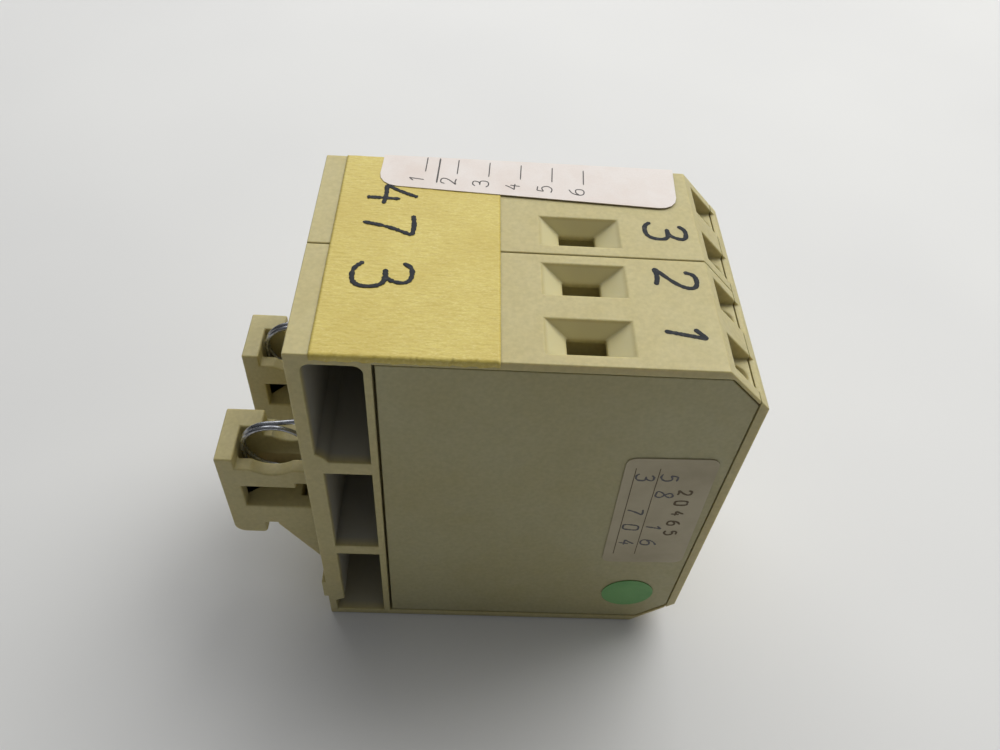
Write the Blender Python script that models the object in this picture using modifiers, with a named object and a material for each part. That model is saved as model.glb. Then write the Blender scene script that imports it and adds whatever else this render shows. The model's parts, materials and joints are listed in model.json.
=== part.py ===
"""Rail-mounted control relay: two 22.5 mm modules side by side behind one front cover.

Metres, +Z up. x runs from the rear (rail side) to the front, y across the modules, z from the bottom end
to the top end. Inside the script every part is placed in its module's own frame: x from the rear face,
y from the module's open side, z from the bottom end. Two empties carry the modules to their places.
"""

import math

import bmesh
import bpy
from mathutils import Matrix, Vector

MM = 0.001

# Case
CASE_HEIGHT = 76 * MM
CASE_DEPTH = 67.5 * MM
CHAMFER = 7.5 * MM
MODULE_PITCH = 22.5 * MM
SEAM = 0.2 * MM
MODULE_WIDTH = MODULE_PITCH - SEAM / 2
CASE_WIDTH = 2 * MODULE_PITCH
SIDE_WALL = 1.5 * MM
GAP = 0.3 * MM
BEYOND = 1 * MM

# Front cover
FRONT_COVER = 1.5 * MM
FRONT_GAP = 0.1 * MM
HOUSING_DEPTH = CASE_DEPTH - FRONT_COVER - FRONT_GAP

# Side cover, let into the open side of each housing
COVER_REAR = 12.1 * MM
COVER_RIM = 1.6 * MM
COVER_CHAMFER_RIM = 0.6 * MM
COVER_PLAY = 0.2 * MM
COVER_REAR_PLAY = 0.4 * MM
COVER_THICKNESS = 1.5 * MM
COVER_RECESS = 0.15 * MM

# Electronics chamber
CHAMBER_REAR = 13 * MM
CHAMBER_FRONT = HOUSING_DEPTH - 1.6 * MM
CHAMBER_END_WALL = 3 * MM
TERMINAL_BLOCK_REAR = 33 * MM
TERMINAL_BLOCK_HEIGHT = 22 * MM

# Rear pockets, open on the near side
POCKET_FRONT = 10.5 * MM
POCKET_ROUNDING = 1.5 * MM

# Terminals: two at each end of each module
TERMINAL_PLACES = (5.46 * MM, 17.04 * MM)
FUNNEL_CENTRE = 41.2 * MM
FUNNEL_LENGTH = 12.7 * MM
FUNNEL_WIDTH = 6.85 * MM
FUNNEL_DEPTH = 2.8 * MM
WIRE_SLOT_LENGTH = 5.7 * MM
WIRE_SLOT_WIDTH = 4.4 * MM
CAVITY_WIDTH = 6.8 * MM
SCREW_CHANNEL_RADIUS = 2.8 * MM
SCREW_AXIS_X = 63.6 * MM
SCREW_AXIS_DEPTH = 4.6 * MM

# Screwdriver opening on the chamfer, around the top of each screw's channel
DRIVER_WIDTH = 6.6 * MM
DRIVER_START = 1.35 * MM
DRIVER_DEPTH = 1.55 * MM
DRIVER_FLOOR = 6.8 * MM

# Screw and clamp, measured along the screw's axis from the chamfer inwards
SCREW_HEAD_TOP = 18.2 * MM
SCREW_HEAD_BASE = 20.2 * MM
SCREW_HEAD_RADIUS = 2.5 * MM
SCREW_SHANK_RADIUS = 1.7 * MM
SCREW_TIP = 25.6 * MM
CLAMP_TOP = 20.4 * MM
CLAMP_BASE = 21.6 * MM
BAR_TOP = 22 * MM
BAR_BASE = 23 * MM
BAR_HOLE_RADIUS = 1.76 * MM
PLATE_WIDTH = 6.2 * MM

# Rail latch, its guide rib and its spring
LATCH_SIDE = 4.14 * MM
LATCH_WIDTH = 10.8 * MM
LATCH_OUTER = -15.6 * MM
LATCH_TOP = 45.25 * MM
LATCH_WALL = 3 * MM
LEDGE = 42.75 * MM
SADDLE_LOW = 41.5 * MM
SADDLE_RADIUS = 5.3 * MM
SADDLE_CENTRE = -6.75 * MM
POCKET_SIDES = (2.5 * MM, 7.0 * MM)
FAR_BLOCK_END = -9.1 * MM
LATCH_SLOT = (31.8 * MM, 37.7 * MM)
LATCH_SLOT_STEP = 39 * MM
HOOK_BOTTOM = 23.2 * MM
HOOK_NOTCH = (-9.8 * MM, -7.65 * MM)
HOOK_NOTCH_TOP = 26.5 * MM
SLOPE_FOOT = 13.1 * MM
GUIDE_CENTRE = LATCH_SIDE + LATCH_WIDTH / 2
GUIDE_STEM = (1.6 * MM, 1.0 * MM)
GUIDE_HEAD = (3.0 * MM, 2.4 * MM)
GUIDE_SPAN = (19 * MM, 29 * MM)
STOP_BAR = (6.8 * MM, 12.4 * MM)
STOP_BAR_DEPTH = 0.8 * MM
SPRING_CENTRE = (-6.35 * MM, 43.75 * MM)
SPRING_MEAN_RADIUS = 5.5 * MM
SPRING_WIRE_RADIUS = 0.4 * MM
SPRING_PITCH = 0.9 * MM
SPRING_TURNS = 2
SPRING_MIDDLE = LATCH_SIDE + sum(POCKET_SIDES) / 2
SPRING_REACH = SPRING_PITCH * SPRING_TURNS / 2
SPRING_FOOT = 32.8 * MM
SPRING_ANCHOR = 50 * MM
SPRING_ANCHOR_DEPTH = 1.4 * MM

# Circuit boards, and the window that the ribbon between them passes through
BOARD_FACE = 18.9 * MM
BOARD_THICKNESS = 1.6 * MM
BOARD_INSET = 0.6 * MM
WINDOW = ((16 * MM, 30 * MM), (24 * MM, 46 * MM))

# Lamps behind the front cover
LED_RADIUS = 1.5 * MM
LED_REAR = 60.5 * MM
LED_FRONT = 67.3 * MM
LED_PLACE = 11.2 * MM
LED_HEIGHT = 50.5 * MM
LED_PLAY = 0.1 * MM

# The switching relay on the far board: its coil's axis runs along y, and its armature faces the side cover
RELAY_X = (32.5 * MM, 51.5 * MM)
RELAY_Z = (30.2 * MM, 45.8 * MM)
RELAY_MIDDLE = sum(RELAY_Z) / 2
COIL_X = 42 * MM
POLE_FACE = 5.9 * MM
ARMATURE_PIVOT = (35 * MM, 5.7 * MM)
ARMATURE_OPEN = math.radians(3.4)
CONTACT_X = 48.4 * MM
CONTACT_RADIUS = 1 * MM

# Labels and tape
LABEL_GAP = 0.05 * MM
LABEL_THICKNESS = 0.12 * MM
TAPE_SPAN = (3.5 * MM, 28.9 * MM)
TAPE_NEAR_HEM = 1.1 * MM
TAPE_FAR_HEM = 6 * MM
TOP_LABEL_SIZE = (48.4 * MM, 24 * MM)
TOP_LABEL_CENTRE = (34 * MM, 25.3 * MM)
TOP_LABEL_TURN = math.radians(-3.2)
TEST_LABEL_SIZE = (14.5 * MM, 31.9 * MM)
TEST_LABEL_CENTRE = (57.25 * MM, 39.75 * MM)
TEST_LABEL_TURN = math.radians(1.6)
DOT_RADIUS = 4.9 * MM
DOT_CENTRE = (57.3 * MM, 11.6 * MM)

# The frame's origin is under the middle of the whole object, latches included
ROOT_X = -(CASE_DEPTH + LATCH_OUTER) / 2
NEAR_MODULE = -CASE_WIDTH / 2
FAR_MODULE = SEAM / 2

PARTS = "control_relay"
CUTTERS = "cutters"
ROUND_STEPS = 24


# Scene, materials and small tools


def clear_scene():
    for obj in list(bpy.data.objects):
        bpy.data.objects.remove(obj, do_unlink=True)


def new_collection(name):
    collection = bpy.data.collections.new(name)
    bpy.context.scene.collection.children.link(collection)
    return collection


def new_material(name, colour, roughness, metallic=0.0):
    material = bpy.data.materials.new(name)
    material.use_nodes = True
    shader = material.node_tree.nodes["Principled BSDF"]
    shader.inputs["Base Color"].default_value = (*colour, 1.0)
    shader.inputs["Roughness"].default_value = roughness
    shader.inputs["Metallic"].default_value = metallic
    return material


def new_empty(name, location, parent=None, rotation=(0, 0, 0)):
    empty = bpy.data.objects.new(name, None)
    empty.location = location
    empty.rotation_euler = rotation
    empty.parent = parent
    empty.empty_display_size = 5 * MM
    bpy.data.collections[PARTS].objects.link(empty)
    return empty


def new_part(name, mesh, material, parent, location=(0, 0, 0), rotation=(0, 0, 0)):
    part = bpy.data.objects.new(name, mesh)
    part.location = location
    part.rotation_euler = rotation
    part.parent = parent
    mesh.materials.clear()
    mesh.materials.append(material)
    bpy.data.collections[PARTS].objects.link(part)
    return part


def to_mesh(name, bm):
    bmesh.ops.recalc_face_normals(bm, faces=bm.faces)
    mesh = bpy.data.meshes.new(name)
    bm.to_mesh(mesh)
    bm.free()
    return mesh


def box(low, high):
    """A box between two corners."""
    low, high = Vector(low), Vector(high)
    bm = bmesh.new()
    bmesh.ops.create_cube(bm, size=1)
    bmesh.ops.scale(bm, verts=bm.verts, vec=high - low)
    bmesh.ops.translate(bm, verts=bm.verts, vec=(high + low) / 2)
    return to_mesh("box", bm)


def cylinder(radius, start, end, steps=ROUND_STEPS):
    """A cylinder from one point to another."""
    start, end = Vector(start), Vector(end)
    bm = bmesh.new()
    bmesh.ops.create_cone(
        bm, cap_ends=True, segments=steps, radius1=radius, radius2=radius, depth=(end - start).length
    )
    turn = (end - start).to_track_quat("Z", "Y").to_matrix().to_4x4()
    bmesh.ops.transform(bm, verts=bm.verts, matrix=Matrix.Translation((start + end) / 2) @ turn)
    mesh = to_mesh("cylinder", bm)
    mesh.shade_smooth()
    mesh.set_sharp_from_angle(angle=math.radians(40))
    return mesh


def rectangular_loft(centre, sections):
    """A solid about a vertical axis through rectangles given as (height, x size, y size)."""
    bm = bmesh.new()
    corners = ((-0.5, -0.5), (0.5, -0.5), (0.5, 0.5), (-0.5, 0.5))
    rings = [
        [bm.verts.new((centre[0] + x * length, centre[1] + y * width, height)) for x, y in corners]
        for height, length, width in sections
    ]
    for upper, lower in zip(rings, rings[1:]):
        for side in range(4):
            bm.faces.new((upper[side], upper[side - 1], lower[side - 1], lower[side]))
    bm.faces.new(rings[0])
    bm.faces.new(rings[-1])
    return to_mesh("loft", bm)


def evaluated_mesh(obj):
    graph = bpy.context.evaluated_depsgraph_get()
    graph.update()
    return bpy.data.meshes.new_from_object(obj.evaluated_get(graph))


# How a flat outline's own x, y and thickness axes lie in the module's frame
OUTLINE_PLANES = {
    "XZ": Matrix(((1, 0, 0, 0), (0, 0, 1, 0), (0, 1, 0, 0), (0, 0, 0, 1))),
    "XY": Matrix.Identity(4),
    "YZ": Matrix(((0, 0, 1, 0), (1, 0, 0, 0), (0, 1, 0, 0), (0, 0, 0, 1))),
}


def prism(outline, low, high, plane="XZ"):
    """A flat outline given thickness from low to high along the axis square to its plane."""
    curve = bpy.data.curves.new("outline", "CURVE")
    curve.dimensions = "2D"
    curve.fill_mode = "BOTH"
    curve.extrude = (high - low) / 2
    spline = curve.splines.new("POLY")
    spline.points.add(len(outline) - 1)
    for point, (across, up) in zip(spline.points, outline):
        point.co = (across, up, 0, 1)
    spline.use_cyclic_u = True
    guide = bpy.data.objects.new("outline", curve)
    bpy.data.collections[CUTTERS].objects.link(guide)
    mesh = evaluated_mesh(guide)
    bpy.data.objects.remove(guide)
    bm = bmesh.new()
    bm.from_mesh(mesh)
    bmesh.ops.remove_doubles(bm, verts=bm.verts, dist=1e-7)
    bmesh.ops.translate(bm, verts=bm.verts, vec=(0, 0, (low + high) / 2))
    bmesh.ops.transform(bm, verts=bm.verts, matrix=OUTLINE_PLANES[plane])
    return to_mesh("prism", bm)


def arc(centre, radius, start, end, steps=6):
    """Points on an arc, angles in degrees."""
    angles = (math.radians(start + (end - start) * step / steps) for step in range(steps + 1))
    return [(centre[0] + radius * math.cos(a), centre[1] + radius * math.sin(a)) for a in angles]


def turned(profile, steps=ROUND_STEPS):
    """A solid of revolution about z from (radius, z) points that run down its outer side."""
    bm = bmesh.new()
    is_loop = profile[0] == profile[-1]
    verts = [bm.verts.new((radius, 0, height)) for radius, height in profile[is_loop:]]
    for first, second in zip(verts, verts[1:]):
        bm.edges.new((first, second))
    if is_loop:
        bm.edges.new((verts[-1], verts[0]))
    mesh = bpy.data.meshes.new("profile")
    bm.to_mesh(mesh)
    bm.free()
    guide = bpy.data.objects.new("profile", mesh)
    bpy.data.collections[CUTTERS].objects.link(guide)
    screw = guide.modifiers.new("turn", "SCREW")
    screw.steps = steps
    screw.render_steps = steps
    screw.use_merge_vertices = True
    screw.merge_threshold = 1e-6
    solid = evaluated_mesh(guide)
    bpy.data.objects.remove(guide)
    solid.shade_smooth()
    solid.set_sharp_from_angle(angle=math.radians(40))
    return solid


def turned_ring(inner, outer, low, high):
    """A closed ring profile: the outer side down, then back up the inner side."""
    return turned([(outer, high), (outer, low), (inner, low), (inner, high), (outer, high)])


def combine(mesh, others, operation):
    """The mesh with each of the others cut from it or joined to it."""
    body = bpy.data.objects.new("body", mesh)
    bpy.data.collections[CUTTERS].objects.link(body)
    tools = []
    for other in others:
        tool = bpy.data.objects.new("tool", other)
        tool.hide_render = True
        tool.display_type = "WIRE"
        bpy.data.collections[CUTTERS].objects.link(tool)
        boolean = body.modifiers.new("combine", "BOOLEAN")
        boolean.operation = operation
        boolean.object = tool
        tools.append(tool)
    result = evaluated_mesh(body)
    for obj in [body, *tools]:
        bpy.data.objects.remove(obj)
    return result


def cut(mesh, *others):
    return combine(mesh, others, "DIFFERENCE")


def join(mesh, *others):
    return combine(mesh, others, "UNION")


def moved(mesh, matrix):
    mesh.transform(matrix)
    return mesh


# Case


def case_outline(rear, front, end_margin=0.0, chamfer_margin=0.0):
    """The case's side outline, set in from its ends and chamfers by the two margins."""
    slant = chamfer_margin * math.sqrt(2)
    corner = CASE_DEPTH - CHAMFER
    along = corner + end_margin - slant
    up = front - corner + slant
    lower = [(rear, end_margin), (along, end_margin), (front, up)]
    upper = [(x, CASE_HEIGHT - z) for x, z in reversed(lower)]
    return lower + upper


def chamber_outline(inset=0.0):
    """The electronics chamber: full height behind the terminal blocks, low between them."""
    rear = CHAMBER_REAR + inset
    front = CHAMBER_FRONT - inset
    step = TERMINAL_BLOCK_REAR - inset
    tall = CHAMBER_END_WALL + inset
    low = TERMINAL_BLOCK_HEIGHT + inset
    lower = [(rear, tall), (step, tall), (step, low), (front, low)]
    upper = [(x, CASE_HEIGHT - z) for x, z in reversed(lower)]
    return lower + upper


def pocket_outlines():
    """The three open pockets along the rear edge, upper, middle and lower."""
    top, front, radius = 74 * MM, POCKET_FRONT, POCKET_ROUNDING
    rear = 2.1 * MM
    upper = [(rear, 53.4 * MM), (3.2 * MM, 52.7 * MM), (4 * MM, 51.5 * MM), (front, 51.5 * MM)]
    upper += arc((front - radius, top - radius), radius, 0, 90)
    upper += arc((rear + radius, top - radius), radius, 90, 180)
    middle = [(3 * MM, 26.2 * MM), (front, 26.2 * MM), (front, 48.5 * MM), (3 * MM, 48.5 * MM)]
    lower = [(1.4 * MM, 1.5 * MM), (front, 1.5 * MM), (front, 23.5 * MM), (3 * MM, 23.5 * MM)]
    lower += [(3 * MM, 6 * MM), (1.4 * MM, 5.2 * MM)]
    return upper, middle, lower


def upside_down(outline, at_top):
    """Outlines are drawn for the top end; the bottom end mirrors them."""
    return outline if at_top else [(x, CASE_HEIGHT - z) for x, z in outline]


def terminal_axis(at_top):
    """A point on the screw's axis just inside the chamfer, and the axis pointing out."""
    height = CASE_HEIGHT - SCREW_AXIS_DEPTH if at_top else SCREW_AXIS_DEPTH
    outwards = Vector((1, 0, 1 if at_top else -1)).normalized()
    return Vector((SCREW_AXIS_X, 0, height)), outwards


def terminal_cutters(place, at_top):
    """Wire funnel, wire slot, clamp cavity, screwdriver opening and channel of one terminal."""
    end = CASE_HEIGHT if at_top else 0
    inwards = -1 if at_top else 1
    flare_x = (FUNNEL_LENGTH - WIRE_SLOT_LENGTH) / FUNNEL_DEPTH
    flare_y = (FUNNEL_WIDTH - WIRE_SLOT_WIDTH) / FUNNEL_DEPTH
    mouth = (end - inwards * BEYOND, FUNNEL_LENGTH + flare_x * BEYOND, FUNNEL_WIDTH + flare_y * BEYOND)
    throat = (end + inwards * FUNNEL_DEPTH, WIRE_SLOT_LENGTH, WIRE_SLOT_WIDTH)
    slot_end = (end + inwards * 5 * MM, WIRE_SLOT_LENGTH, WIRE_SLOT_WIDTH)
    funnel = rectangular_loft((FUNNEL_CENTRE, place), (mouth, throat, slot_end))

    rear = FUNNEL_CENTRE - WIRE_SLOT_LENGTH / 2 - GAP
    ceiling, floor = 72.3 * MM, 53 * MM
    side, front = 48.6 * MM, 54.3 * MM
    slanted = 109.7 * MM
    cavity_outline = [
        (rear, floor),
        (front, floor),
        (front, slanted - front),
        (side, slanted - side),
        (side, ceiling),
        (rear, ceiling),
    ]
    is_outer = place == TERMINAL_PLACES[0]
    # The outer cavity is open towards the side cover, as the terminals go in from there.
    open_side = -BEYOND if is_outer else place - CAVITY_WIDTH / 2
    cavity = prism(upside_down(cavity_outline, at_top), open_side, place + CAVITY_WIDTH / 2)

    mouth_centre, outwards = terminal_axis(at_top)
    mouth_centre.y = place
    channel = cylinder(
        SCREW_CHANNEL_RADIUS,
        mouth_centre - outwards * SCREW_HEAD_TOP,
        mouth_centre + outwards * 3 * MM,
    )
    return [funnel, cavity, driver_cutter(place, at_top), channel]


def driver_outline():
    """Side outline of a screwdriver opening: a sunk seat square to the screw, then a level lip."""
    corner = CASE_DEPTH - CHAMFER
    start_x, start_z = corner + DRIVER_START, CASE_HEIGHT - DRIVER_START
    seat = start_x + start_z - 2 * DRIVER_DEPTH
    floor = CASE_HEIGHT - DRIVER_FLOOR
    return [
        (start_x - DRIVER_DEPTH, start_z - DRIVER_DEPTH),
        (seat - floor, floor),
        (CASE_DEPTH + BEYOND, floor),
        (start_x + BEYOND, start_z + BEYOND),
    ]


def driver_cutter(place, at_top):
    """The cutter of one screwdriver opening, for the housing and the front cover alike."""
    near, far = place - DRIVER_WIDTH / 2, place + DRIVER_WIDTH / 2
    return prism(upside_down(driver_outline(), at_top), near, far)


def guide_rib(play=0.0, span=GUIDE_SPAN):
    """The T-shaped rib on the rear face; with play it is the slot in the latch."""
    low, high = span
    stem_out, stem_half = GUIDE_STEM
    head_out, head_half = GUIDE_HEAD
    stem = box(
        (-stem_out - GAP, GUIDE_CENTRE - stem_half - play, low),
        (BEYOND, GUIDE_CENTRE + stem_half + play, high),
    )
    head = box(
        (-head_out - play, GUIDE_CENTRE - head_half - play, low),
        (-stem_out + play, GUIDE_CENTRE + head_half + play, high),
    )
    return join(stem, head)


def led_bore():
    start = (LED_REAR, LED_PLACE, LED_HEIGHT)
    end = (CASE_DEPTH + BEYOND, LED_PLACE, LED_HEIGHT)
    return cylinder(LED_RADIUS + LED_PLAY, start, end)


def link_window(low, high):
    """The opening that the ribbon between the two boards passes through."""
    (rear, bottom), (front, top) = WINDOW
    return box((rear, low, bottom), (front, high, top))


def housing_mesh(is_near):
    """One module's housing, open on its near side."""
    inner = MODULE_WIDTH - SIDE_WALL
    shell = prism(case_outline(0, HOUSING_DEPTH), 0, MODULE_WIDTH)
    stop_bar = box((-STOP_BAR_DEPTH, 0, STOP_BAR[0]), (BEYOND, MODULE_WIDTH, STOP_BAR[1]))
    shell = join(shell, guide_rib(), stop_bar)
    cutters = [
        prism(chamber_outline(), -BEYOND, inner),
        prism(
            case_outline(COVER_REAR - COVER_REAR_PLAY, CASE_DEPTH, COVER_RIM, COVER_CHAMFER_RIM),
            -BEYOND,
            COVER_RECESS + COVER_THICKNESS + COVER_PLAY,
        ),
        led_bore(),
    ]
    cutters += [prism(outline, -BEYOND, inner) for outline in pocket_outlines()]
    for at_top in (True, False):
        for place in TERMINAL_PLACES:
            cutters += terminal_cutters(place, at_top)
    anchor_side = SPRING_MIDDLE + SPRING_REACH
    cutters.append(
        cylinder(
            0.9 * MM, (-BEYOND, anchor_side, SPRING_ANCHOR), (2 * MM, anchor_side, SPRING_ANCHOR), 12
        )
    )
    if is_near:
        cutters.append(link_window(inner - BEYOND, MODULE_WIDTH + BEYOND))
    return cut(shell, *cutters)


def side_cover_mesh(is_near):
    """The flat cover in a housing's open side; the far module's has the ribbon's window."""
    outline = case_outline(
        COVER_REAR, HOUSING_DEPTH, COVER_RIM + COVER_PLAY, COVER_CHAMFER_RIM + COVER_PLAY
    )
    plate = prism(outline, COVER_RECESS, COVER_RECESS + COVER_THICKNESS)
    return plate if is_near else cut(plate, link_window(-BEYOND, 3 * MM))


def front_cover_mesh():
    """One cover across both modules, with a label field, lamp holes and the screwdriver openings' lips."""
    near, far = -CASE_WIDTH / 2, CASE_WIDTH / 2
    rear = CASE_DEPTH - FRONT_COVER
    profile = case_outline(rear - 10 * MM, CASE_DEPTH)
    behind = box((rear - 20 * MM, near - BEYOND, -BEYOND), (rear, far + BEYOND, CASE_HEIGHT + BEYOND))
    slab = cut(prism(profile, near, far), behind)
    field = box((CASE_DEPTH - 0.3 * MM, -18 * MM, 22 * MM), (CASE_DEPTH + BEYOND, 18 * MM, 44 * MM))
    cutters = [field]
    for module in (NEAR_MODULE, FAR_MODULE):
        cutters.append(moved(led_bore(), Matrix.Translation((0, module, 0))))
        for at_top in (True, False):
            cutters += [driver_cutter(module + place, at_top) for place in TERMINAL_PLACES]
    return cut(slab, *cutters)


def build_case(materials, root, modules):
    for side, module in modules.items():
        is_near = side == "near"
        new_part(f"housing_{side}", housing_mesh(is_near), materials["case"], module)
        new_part(f"side_cover_{side}", side_cover_mesh(is_near), materials["cover"], module)
    new_part("front_cover", front_cover_mesh(), materials["case"], root)


# Rail latches


def latch_outline():
    """Side outline of the latch: block, hook, rail notch and slope."""
    inner, outer = -GAP, LATCH_OUTER
    notch_rear, notch_front = HOOK_NOTCH
    lip, heel = 0.9 * MM, 2 * MM
    points = [(inner, LATCH_TOP), (outer, LATCH_TOP)]
    points += arc((outer + heel, HOOK_BOTTOM + heel), heel, 180, 270)
    points += arc((notch_rear - lip, HOOK_BOTTOM + lip), lip, 270, 360)
    points += [(notch_rear, HOOK_NOTCH_TOP), (notch_front, HOOK_NOTCH_TOP)]
    points += [(notch_front, HOOK_NOTCH_TOP - 0.5 * MM), (inner, SLOPE_FOOT)]
    return points


def latch_mesh():
    near, far = LATCH_SIDE, LATCH_SIDE + LATCH_WIDTH
    pocket_near, pocket_far = (LATCH_SIDE + side for side in POCKET_SIDES)
    inner_wall = LATCH_OUTER + LATCH_WALL
    slot_low, slot_high = LATCH_SLOT
    body = prism(latch_outline(), near, far)
    above = LATCH_TOP + BEYOND
    pocket = box((inner_wall, pocket_near, slot_low), (BEYOND, pocket_far, above))
    near_ledge = box((inner_wall, near - BEYOND, LEDGE), (BEYOND, pocket_near + GAP, above))
    far_ledge = box((FAR_BLOCK_END, pocket_far - GAP, LEDGE), (BEYOND, far + BEYOND, above))
    saddle_height = SADDLE_LOW + SADDLE_RADIUS
    saddle = cylinder(
        SADDLE_RADIUS,
        (SADDLE_CENTRE, near - BEYOND, saddle_height),
        (SADDLE_CENTRE, pocket_near + GAP, saddle_height),
        32,
    )
    far_saddle_centre = (FAR_BLOCK_END - GAP) / 2
    far_saddle = cylinder(
        4.2 * MM,
        (far_saddle_centre, pocket_far - GAP, SADDLE_LOW + 4.2 * MM),
        (far_saddle_centre, far + BEYOND, SADDLE_LOW + 4.2 * MM),
        32,
    )
    side_slot = box((inner_wall + GAP, near - BEYOND, slot_low), (BEYOND, far + BEYOND, slot_high))
    slot_step = box((-3.1 * MM, near - BEYOND, slot_high - GAP), (BEYOND, far + BEYOND, LATCH_SLOT_STEP))
    guide_slot = guide_rib(GAP, (SLOPE_FOOT - BEYOND, slot_low + GAP))
    return cut(
        body, pocket, near_ledge, far_ledge, saddle, far_saddle, side_slot, slot_step, guide_slot
    )


def spring_points():
    """Centre line of the latch spring: a leg in the latch, the coil, a leg into the housing."""
    centre_x, centre_z = SPRING_CENTRE
    steps_per_turn = 20
    near = SPRING_MIDDLE - SPRING_REACH
    total = steps_per_turn * SPRING_TURNS + steps_per_turn // 2
    coil = []
    for step in range(total + 1):
        angle = math.pi + 2 * math.pi * step / steps_per_turn
        across = near + 2 * SPRING_REACH * step / total
        coil.append(
            (
                centre_x + SPRING_MEAN_RADIUS * math.cos(angle),
                across,
                centre_z + SPRING_MEAN_RADIUS * math.sin(angle),
            )
        )
    bend = 1.2 * MM
    front = centre_x + SPRING_MEAN_RADIUS
    far = SPRING_MIDDLE + SPRING_REACH
    foot = [(coil[0][0], near, SPRING_FOOT), (coil[0][0], near, centre_z - 2 * MM)]
    turn = [
        (front + bend - bend * math.cos(a), far, SPRING_ANCHOR - bend + bend * math.sin(a))
        for a in (math.radians(degrees) for degrees in (0, 30, 60, 90))
    ]
    anchor = [(SPRING_ANCHOR_DEPTH, far, SPRING_ANCHOR)]
    return foot, coil, turn + anchor


def spring_mesh():
    foot, coil, anchor = spring_points()
    points = foot + coil + anchor
    curve = bpy.data.curves.new("spring_wire", "CURVE")
    curve.dimensions = "3D"
    curve.bevel_depth = SPRING_WIRE_RADIUS
    curve.bevel_resolution = 2
    curve.use_fill_caps = True
    spline = curve.splines.new("POLY")
    spline.points.add(len(points) - 1)
    for point, place in zip(spline.points, points):
        point.co = (*place, 1)
    guide = bpy.data.objects.new("spring_wire", curve)
    bpy.data.collections[CUTTERS].objects.link(guide)
    mesh = evaluated_mesh(guide)
    bpy.data.objects.remove(guide)
    bm = bmesh.new()
    bm.from_mesh(mesh)
    bmesh.ops.remove_doubles(bm, verts=bm.verts, dist=1e-7)
    mesh = to_mesh("spring", bm)
    mesh.shade_smooth()
    return mesh


def build_latches(materials, modules):
    for side, module in modules.items():
        new_part(f"rail_latch_{side}", latch_mesh(), materials["case"], module)
        new_part(f"latch_spring_{side}", spring_mesh(), materials["steel"], module)


# Terminals. In the screw's own frame z points out along the axis, so depths are negative.


def screw_mesh():
    head_edge = 0.4 * MM
    profile = [
        (0, -SCREW_HEAD_TOP),
        (SCREW_HEAD_RADIUS - head_edge, -SCREW_HEAD_TOP),
        (SCREW_HEAD_RADIUS, -SCREW_HEAD_TOP - head_edge),
        (SCREW_HEAD_RADIUS, -SCREW_HEAD_BASE),
        (SCREW_SHANK_RADIUS, -SCREW_HEAD_BASE),
        (SCREW_SHANK_RADIUS, -SCREW_TIP + head_edge),
        (SCREW_SHANK_RADIUS - head_edge, -SCREW_TIP),
        (0, -SCREW_TIP),
    ]
    slot = box(
        (-3 * MM, -0.4 * MM, -SCREW_HEAD_TOP - 1.1 * MM), (3 * MM, 0.4 * MM, -SCREW_HEAD_TOP + BEYOND)
    )
    return cut(turned(profile), slot)


def clamp_mesh():
    """Clamp plate under the screw head, with a tongue that guides the wire."""
    front, bend, rise = 3.2 * MM, -4.8 * MM, 6.9 * MM
    skew = 0.8 * MM / math.sqrt(2)
    outline = [
        (front, -CLAMP_BASE),
        (front, -CLAMP_TOP),
        (bend, -CLAMP_TOP),
        (bend - rise, -CLAMP_TOP + rise),
        (bend - rise - skew, -CLAMP_TOP + rise - skew),
        (bend - 2 * skew + CLAMP_BASE - CLAMP_TOP, -CLAMP_BASE),
    ]
    plate = prism(outline, -PLATE_WIDTH / 2, PLATE_WIDTH / 2)
    hole = cylinder(1.9 * MM, (0, 0, -CLAMP_BASE - BEYOND), (0, 0, -CLAMP_TOP + BEYOND))
    return cut(plate, hole)


def bar_mesh(place, arm_sign):
    """Fixed contact bar under the clamp; its arm reaches across to the circuit board."""
    half, reach = PLATE_WIDTH / 2, BOARD_FACE - GAP - place
    rear = -8.5 * MM
    is_outer = place == TERMINAL_PLACES[0]
    arm_rear, arm_front = (6 * MM, 7.5 * MM) if is_outer else (2.2 * MM, 5.5 * MM)
    outline = [
        (rear, -half),
        (arm_front, -half),
        (arm_front, reach),
        (arm_rear, reach),
        (arm_rear, half),
        (rear, half),
    ]
    outline = [(along, arm_sign * across) for along, across in outline]
    bar = prism(outline, -BAR_BASE, -BAR_TOP, "XY")
    return cut(bar, cylinder(BAR_HOLE_RADIUS, (0, 0, -BAR_BASE - BEYOND), (0, 0, -BAR_TOP + BEYOND)))


def terminal_number(side, at_top, place):
    """Terminals count 1 to 4 along the top end from the near side, then 5 to 8 along the bottom."""
    number = 1 + TERMINAL_PLACES.index(place)
    number += 0 if side == "near" else len(TERMINAL_PLACES)
    return number if at_top else number + 2 * len(TERMINAL_PLACES)


def build_terminals(materials, modules):
    screw, clamp = screw_mesh(), clamp_mesh()
    for side, module in modules.items():
        for at_top in (True, False):
            mouth, _ = terminal_axis(at_top)
            tilt = math.radians(45 if at_top else 135)
            turn = (0, tilt, 0) if at_top else (0, -tilt, math.pi)
            for place in TERMINAL_PLACES:
                number = terminal_number(side, at_top, place)
                axis = new_empty(f"terminal_axis_{number}", (mouth.x, place, mouth.z), module, turn)
                new_part(f"terminal_screw_{number}", screw, materials["screw"], axis)
                new_part(f"clamp_plate_{number}", clamp, materials["brass"], axis)
                bar = bar_mesh(place, 1 if at_top else -1)
                new_part(f"terminal_bar_{number}", bar, materials["brass"], axis)


# Electronics


def board_mesh():
    return prism(chamber_outline(BOARD_INSET), BOARD_FACE, BOARD_FACE + BOARD_THICKNESS)


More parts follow.
